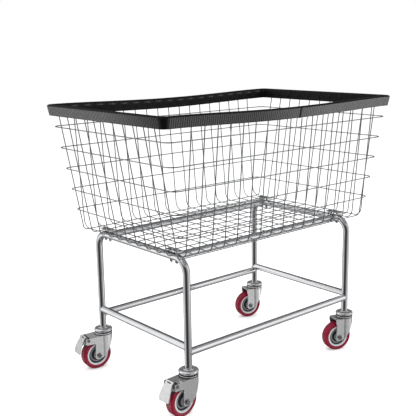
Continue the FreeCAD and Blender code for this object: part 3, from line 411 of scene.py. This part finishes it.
def rim_stations(step):
    """Points round the outer top edge as (place, outward direction, distance from the joint), and
    the length of the whole edge."""
    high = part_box("bumper")[1]
    straight_x, straight_y = high.x - RIM_CORNER, high.y - RIM_CORNER
    turn_length = RIM_CORNER * math.pi / 2
    lengths = (straight_x - SEAM_X, turn_length, 2 * straight_y, turn_length, 2 * straight_x,
               turn_length, 2 * straight_y, turn_length, straight_x + SEAM_X)
    total = sum(lengths)
    count = int(round(total / step))
    stations = []
    for index in range(count + 1):
        along = total * index / count
        rest, part = along, 0
        while part < len(lengths) - 1 and rest > lengths[part]:
            rest -= lengths[part]
            part += 1
        stations.append((*rim_point(part, rest, straight_x, straight_y, high.z), along))
    return stations, total


def rim_point(part, rest, straight_x, straight_y, top):
    """Place and outward direction at a distance into one of the nine parts of the rim."""
    if part in (0, 4, 8):
        side = 1 if part == 4 else -1
        starts = {0: SEAM_X, 4: straight_x, 8: -straight_x}
        x = starts[part] - side * rest
        share = x / straight_x
        drop = RIM_SAG * (1 - share * share) ** 2
        return Vector((x, side * (straight_y + RIM_CORNER), top - drop)), Vector((0, side, 0))
    if part in (2, 6):
        side = 1 if part == 2 else -1
        place = Vector((side * (straight_x + RIM_CORNER), side * (rest - straight_y), top))
        return place, Vector((side, 0, 0))
    start = {1: -90, 3: 0, 5: 90, 7: 180}[part]
    angle = math.radians(start) + rest / RIM_CORNER
    outward = Vector((math.cos(angle), math.sin(angle), 0))
    corner_x = straight_x if part in (1, 3) else -straight_x
    corner_y = straight_y if part in (3, 5) else -straight_y
    return Vector((corner_x, corner_y, top)) + outward * RIM_CORNER, outward


def bumper_section(depth):
    """Corners of the channel as (inward, down, rib share), round its whole outline."""
    half = BUMPER_THICK / 2
    section = []
    for step in range(SIDE_STEPS + 1):
        share = step / SIDE_STEPS
        section.append((FOOT_LEAN * (1 - share), depth * (1 - share) + CROWN_RISE * share, 1.0))
    for step in range(1, CROWN_STEPS):
        angle = math.pi * step / CROWN_STEPS
        ribbed = clamp(1.0 - 1.6 * angle / math.pi) if angle < 1.9 else 0.3
        section.append((half - half * math.cos(angle), CROWN_RISE * (1 - math.sin(angle)), ribbed))
    for step in range(SIDE_STEPS + 1):
        share = step / SIDE_STEPS
        section.append((BUMPER_THICK + FOOT_LEAN * share, CROWN_RISE * (1 - share) + depth * share, 0.5))
    inner = BUMPER_THICK - BUMPER_WALL
    section.append((inner + FOOT_LEAN, depth, 0.0))
    section.append((inner + EDGE_LEAN / 4, depth / 4, 0.0))
    section.append((inner - ROOF_CORNER, ROOF_DEPTH, 0.0))
    section.append((BUMPER_WALL + ROOF_CORNER, ROOF_DEPTH, 0.0))
    section.append((BUMPER_WALL + EDGE_LEAN / 4, depth / 4, 0.0))
    section.append((BUMPER_WALL + FOOT_LEAN, depth, 0.0))
    return section


def rib_wave(along):
    """Height share of the ribs: broad rounded ridges with narrow grooves between them."""
    phase = along / RIB_PITCH * 2 * math.pi
    return max(0.0, 0.5 + 0.5 * math.cos(phase)) ** 0.8


def corner_share(outward):
    """How far the skin is stretched smooth round a corner: 0 on the straights, 1 in its middle."""
    return min(1.0, 2.2 * abs(outward.x * outward.y))


def painted_sheen_share(place, outward, half_x, half_y):
    """Painted sheen on the outer skin, a painted reflection: most to the right of the joint, least round the
    corners.
    """
    if abs(outward.y) > abs(outward.x):
        share = 0.4 + 0.6 * clamp((place.x / half_x + 0.3) / 0.6)
    else:
        share = 0.15 + 0.65 * clamp((place.y / half_y + 1.0) / 0.9)
    return share * (1 - corner_share(outward))


def wire_distance(place, outward):
    """Distance along the rim to the nearest wall wire, which the inner side bulges over."""
    on_long_side = abs(outward.y) > abs(outward.x)
    position, pitch = (place.x, CROSS_WIRE_PITCH) if on_long_side else (place.y, LENGTH_WIRE_PITCH)
    return abs(position - round(position / pitch) * pitch)


def build_bumper():
    """Ribbed vinyl channel with its butt joint on the front long side."""
    low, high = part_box("bumper")
    depth = high.z - low.z - RIM_SAG
    section = bumper_section(depth)
    stations, total = rim_stations(RIB_PITCH / RIB_STATIONS)
    points, crest = [], []
    for place, outward, along in stations:
        near_joint = min(along, total - along)
        shrink = JOINT_PINCH * bell(near_joint, JOINT_REACH)
        nudge = Vector()
        if near_joint < 1e-6:
            side = 1 if along < total / 2 else -1
            nudge = Vector((-outward.y, outward.x, 0)) * (side * JOINT_GAP / 2)
        rib = rib_wave(along) * (1 - corner_share(outward))
        wobble = 0.000175 * math.sin(along * 41.0) + 0.000125 * math.sin(along * 97.0 + 1.0)
        to_wire = wire_distance(place, outward)
        bulge = WIRE_BULGE * bell(to_wire, WIRE_REACH)
        # Painted highlight over each wire, painted sheen along the skin, left off near the joint as painted
        # shade.
        glint = GLINT * bell(to_wire, 2 * WIRE_REACH) * abs(outward.y)
        painted_sheen_amount = painted_sheen_share(place, outward, high.x, high.y) * (1 - bell(near_joint, JOINT_SHADE))
        groove = GROOVE_PAINTED_SHEEN * painted_sheen_amount
        for inward, down, ribbed in section:
            outer_half = inward < BUMPER_THICK / 2
            inner_side = inward > BUMPER_THICK * 0.9
            sunk = RIB_HEIGHT * (1 - rib) * ribbed + shrink
            inset = inward + (sunk if outer_half else -sunk) + wobble + SKIN_GAP
            if inner_side and 0.002 < down < depth * 0.6:
                inset += bulge
            points.append(place + nudge - outward * inset - Vector((0, 0, down + shrink)))
            # Each point's painted sheen value: painted highlights on the rib crests and over the wires, and
            # a painted reflection along the skin.
            if ribbed == 1.0:
                crest.append(painted_sheen_amount * (groove + (1 - groove) * rib))
            else:
                crest.append(glint if inner_side and 0.2 < down / depth < 0.35 else 0.0)
    faces = loft_faces(len(stations), len(section), closed_path=False)
    size = len(section)
    last = (len(stations) - 1) * size
    faces.append(tuple(range(size)))
    faces.append(tuple(reversed(range(last, last + size))))
    piece = mesh_piece("bumper_ribbed", points, faces, "bumper_vinyl", crest=crest)
    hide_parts("bumper")


# ------------------------------------------------------------------------------------- spot welds


def basket_lines():
    """Places read from the basket wires: pitches, wall positions at a height and hoop heights."""
    cross_low, cross_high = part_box("basket_cross_wires")
    long_low, long_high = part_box("basket_length_wires")
    hoop_low, hoop_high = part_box("basket_hoop_wires")
    hoop_gap = 2 * WIRE_RADIUS + HOOP_GAP
    top = cross_high.z
    ring_top = hoop_high.z - WIRE_RADIUS
    ring_bottom = hoop_low.z + WIRE_RADIUS
    side_top = cross_high.y - WIRE_RADIUS
    end_top = long_high.x - WIRE_RADIUS
    side_slope = (side_top - (hoop_high.y - WIRE_RADIUS - hoop_gap)) / (top - ring_top)
    end_slope = (end_top - (hoop_high.x - WIRE_RADIUS - hoop_gap)) / (top - ring_top)
    return {
        "xs": np.linspace(cross_low.x + WIRE_RADIUS, cross_high.x - WIRE_RADIUS, CROSS_WIRES),
        "ys": np.linspace(long_low.y + WIRE_RADIUS, long_high.y - WIRE_RADIUS, LENGTH_WIRES),
        "rings": np.linspace(ring_bottom, ring_top, HOOPS),
        "side": lambda z: side_top + side_slope * (z - top),
        "end": lambda z: end_top + end_slope * (z - top),
        "floor": long_low.z + 2 * WIRE_RADIUS,
    }


def weld_places():
    """Every crossing of two basket wires: (place, direction from one wire to the other)."""
    lines = basket_lines()
    places = []
    for x in lines["xs"]:
        for y in lines["ys"]:
            places.append((Vector((x, y, lines["floor"])), Vector((0, 0, 1))))
    for z in lines["rings"]:
        wall_y = lines["side"](z) + WIRE_RADIUS
        wall_x = lines["end"](z) + WIRE_RADIUS
        for x in lines["xs"]:
            for side in (-1, 1):
                places.append((Vector((x, side * wall_y, z)), Vector((0, side, 0))))
        for y in lines["ys"]:
            for side in (-1, 1):
                places.append((Vector((side * wall_x, y, z)), Vector((side, 0, 0))))
    return places


def build_spot_welds():
    """Small squeezed nuggets where the wires cross."""
    rng = np.random.default_rng(7)
    points, faces = [], []
    rows, columns = 5, 8
    for place, axis in weld_places():
        across = axis.orthogonal().normalized()
        other = axis.cross(across)
        wide = WIRE_RADIUS * rng.uniform(0.95, 1.15)
        thick = WIRE_RADIUS * 0.55
        start = len(points)
        for row in range(rows):
            tilt = math.pi * (row + 0.5) / rows
            for column in range(columns):
                turn = 2 * math.pi * column / columns
                rim = wide * math.sin(tilt) * rng.uniform(0.93, 1.05)
                spot = across * math.cos(turn) * rim + other * math.sin(turn) * rim
                points.append(place + spot + axis * thick * math.cos(tilt))
        faces += loft_faces(rows, columns, closed_path=False, first=start)
        faces.append(tuple(reversed(range(start, start + columns))))
        faces.append(tuple(range(start + (rows - 1) * columns, start + rows * columns)))
    mesh_piece("basket_spot_welds", points, faces, "basket_wire")


# ------------------------------------------------------------------------------------- frame welds


def bead(path, radius):
    """Closed weld bead with overlapping ripples along a path of points."""
    sides = 10
    count = len(path)
    points = []
    for index, place in enumerate(path):
        tangent = (path[(index + 1) % count] - path[index - 1]).normalized()
        across = tangent.orthogonal().normalized()
        other = tangent.cross(across)
        ripple = radius * (1.0 + 0.13 * math.sin(index * 1.7))
        for side in range(sides):
            turn = 2 * math.pi * side / sides
            points.append(place + (across * math.cos(turn) + other * math.sin(turn)) * ripple)
    return points, loft_faces(count, sides, closed_path=True)


def saddle_path(end, direction, upright):
    """Where a tube along direction meets an equal tube along upright whose centre is at end."""
    third = direction.cross(upright)
    path = []
    count = 96
    for index in range(count):
        turn = 2 * math.pi * index / count
        aside = math.cos(turn) * TUBE_RADIUS
        along = math.sin(turn) * TUBE_RADIUS
        reach = math.sqrt(max(0.0, TUBE_RADIUS ** 2 - aside ** 2))
        path.append(end - direction * (reach + BEAD_SINK) + third * aside + upright * along)
    return path


def build_frame_welds():
    """A bead round each joint of the tube frame."""
    points, faces = [], []
    up = Vector((0, 0, 1))
    joints = []
    leg_low, leg_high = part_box("leg_frame_right")
    leg_x = (leg_low.x + leg_high.x) / 2
    leg_y = leg_high.y - TUBE_RADIUS
    for name, aim, stand in (
        ("stretcher_front", Vector((1, 0, 0)), up),
        ("stretcher_back", Vector((1, 0, 0)), up),
        ("stretcher_left", Vector((0, 1, 0)), up),
        ("stretcher_right", Vector((0, 1, 0)), up),
        ("top_rail_front", Vector((1, 0, 0)), Vector((0, 1, 0))),
        ("top_rail_back", Vector((1, 0, 0)), Vector((0, 1, 0))),
    ):
        low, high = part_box(name)
        middle = (low + high) / 2
        reach = leg_x if aim.x else leg_y
        for side in (-1, 1):
            joints.append((middle + aim * side * reach, aim * side, stand))
    for end, direction, stand in joints:
        ring, quads = bead(saddle_path(end, direction, stand), BEAD_RADIUS)
        start = len(points)
        points += ring
        faces += [tuple(start + corner for corner in quad) for quad in quads]
    mesh_piece("frame_weld_beads", points, faces, "chrome_tube")


# ------------------------------------------------------------------------------ floor, light, view

CAMERA_AZIMUTH = -40.7   # degrees, as the two angles after it
CAMERA_PITCH = 12.5
CAMERA_ROLL = -0.872
CAMERA_DISTANCE = 2.5332
CAMERA_SHIFT = -0.0577   # the aim's place to the right of the cart's middle
CAMERA_AIM_HEIGHT = 0.5273
FOCAL_SHARE = 1.8262     # focal length over the sensor's width
SENSOR_WIDTH = 36.0      # millimetres, as the lens


def build_camera():
    """Camera looking down at the front left corner, with its small tilt about the view line."""
    azimuth = math.radians(CAMERA_AZIMUTH)
    pitch = math.radians(CAMERA_PITCH)
    roll = math.radians(CAMERA_ROLL)
    level = Vector((math.sin(azimuth), -math.cos(azimuth), 0))
    back = level * math.cos(pitch) + Vector((0, 0, math.sin(pitch)))
    right = Vector((math.cos(azimuth), math.sin(azimuth), 0))
    up = back.cross(right)
    aim = Vector((0, 0, CAMERA_AIM_HEIGHT)) + right * CAMERA_SHIFT
    image_right = right * math.cos(roll) + up * math.sin(roll)
    image_up = up * math.cos(roll) - right * math.sin(roll)
    data = bpy.data.cameras.new("camera")
    data.sensor_width = SENSOR_WIDTH
    data.lens = SENSOR_WIDTH * FOCAL_SHARE
    camera = bpy.data.objects.new("camera", data)
    bpy.context.scene.collection.objects.link(camera)
    turn = Matrix((image_right, image_up, back)).transposed()
    camera.matrix_world = Matrix.Translation(aim + back * CAMERA_DISTANCE) @ turn.to_4x4()
    bpy.context.scene.camera = camera


def build_floor():
    half = 9.0
    mesh = bpy.data.meshes.new("floor")
    corners = [(-half, -half, 0), (half, -half, 0), (half, half, 0), (-half, half, 0)]
    mesh.from_pydata(corners, [], [(0, 1, 2, 3)])
    mesh.materials.append(studio_floor("studio_floor"))
    floor = bpy.data.objects.new("floor", mesh)
    bpy.context.scene.collection.objects.link(floor)
    floor.visible_glossy = False


def facing(tree, split, azimuth):
    """How nearly a direction's level part points along an azimuth: 1 when it does."""
    level = add_node(tree, "ShaderNodeCombineXYZ", X=split.outputs["X"], Y=split.outputs["Y"])
    unit = add_node(tree, "ShaderNodeVectorMath", {"operation": "NORMALIZE"})
    tree.links.new(level.outputs[0], unit.inputs[0])
    along = add_node(tree, "ShaderNodeVectorMath", {"operation": "DOT_PRODUCT"})
    tree.links.new(unit.outputs[0], along.inputs[0])
    along.inputs[1].default_value = (math.cos(azimuth), math.sin(azimuth), 0.0)
    return along.outputs["Value"]


def larger(tree, first, second):
    node = add_node(tree, "ShaderNodeMath", {"operation": "MAXIMUM"})
    tree.links.new(first, node.inputs[0])
    tree.links.new(second, node.inputs[1])
    return node.outputs[0]


def smaller(tree, first, second):
    node = add_node(tree, "ShaderNodeMath", {"operation": "MINIMUM"})
    tree.links.new(first, node.inputs[0])
    tree.links.new(second, node.inputs[1])
    return node.outputs[0]


def band(tree, split, azimuth, inner, outer, level, rest):
    """A level within an upright band of the surroundings, changing to the rest beside it."""
    near = math.cos(math.radians(inner))
    far = math.cos(math.radians(outer))
    return spread(tree, facing(tree, split, azimuth), rest, level, far, near)


def build_world():
    """White studio.  Polished metal sees grey walls, a tall bright window on the left and a lower
    one on the right, the dark side where the camera stands, a dark wall behind and a grey floor."""
    world = bpy.data.worlds.new("studio")
    bpy.context.scene.world = world
    world.use_nodes = True
    tree = world.node_tree
    background = tree.nodes["Background"]
    direction = add_node(tree, "ShaderNodeTexCoord").outputs["Generated"]
    split = add_node(tree, "ShaderNodeSeparateXYZ", Vector=direction)
    height = split.outputs["Z"]
    camera_side = math.radians(CAMERA_AZIMUTH - 90)
    left, right = camera_side - math.radians(98), camera_side + math.radians(85)
    walls = band(tree, split, camera_side - math.radians(12), inner=18, outer=48, level=0.02, rest=0.34)
    ceiling = band(tree, split, left, inner=50, outer=85, level=1.0, rest=0.3)
    high = spread(tree, height, 0.0, 1.0, 0.4, 0.62)
    lit = larger(tree, walls, smaller(tree, ceiling, high))
    right_window = band(tree, split, right, inner=9, outer=19, level=1.0, rest=0.0)
    right_foot = spread(tree, height, 0.0, 1.0, -0.44, -0.32)
    right_head = spread(tree, height, 1.0, 0.0, 0.5, 0.66)
    right_window = smaller(tree, right_window, smaller(tree, right_foot, right_head))
    left_window = band(tree, split, left, inner=9, outer=19, level=1.0, rest=0.0)
    lit = larger(tree, lit, larger(tree, right_window, left_window))
    behind = band(tree, split, camera_side + math.radians(178), inner=34, outer=62, level=0.1, rest=1.0)
    lit = smaller(tree, lit, behind)
    lit = smaller(tree, lit, spread(tree, height, 0.2, 1.0, -0.74, -0.56))
    reflected = blend_colour(tree, lit, (0.012, 0.012, 0.014), (0.99, 0.99, 1.0))
    ray = add_node(tree, "ShaderNodeLightPath")
    seen = blend_colour(tree, ray.outputs["Is Glossy Ray"], (1.0, 1.0, 1.0), reflected)
    tree.links.new(seen, background.inputs["Color"])
    background.inputs["Strength"].default_value = 1.0
    bpy.context.scene.view_settings.view_transform = "Standard"


def soft_box(name, place, aim, width, height, power):
    data = bpy.data.lights.new(name, "AREA")
    data.shape = "RECTANGLE"
    data.size = width
    data.size_y = height
    data.energy = power
    light = bpy.data.objects.new(name, data)
    bpy.context.scene.collection.objects.link(light)
    light.location = place
    light.visible_glossy = False
    light.rotation_euler = (Vector(aim) - Vector(place)).to_track_quat("-Z", "Y").to_euler()


def build_lights():
    middle = (0, 0, 0.5)
    soft_box("key", (-2.2, -2.0, 2.6), middle, 1.6, 1.6, 45)
    soft_box("fill", (2.6, -1.8, 1.8), middle, 1.4, 1.8, 25)
    soft_box("top", (0.0, 0.4, 3.0), middle, 2.2, 1.6, 30)


paint_cad_nodes()
build_bumper()
build_spot_welds()
build_frame_welds()
build_camera()
build_floor()
build_world()
build_lights()
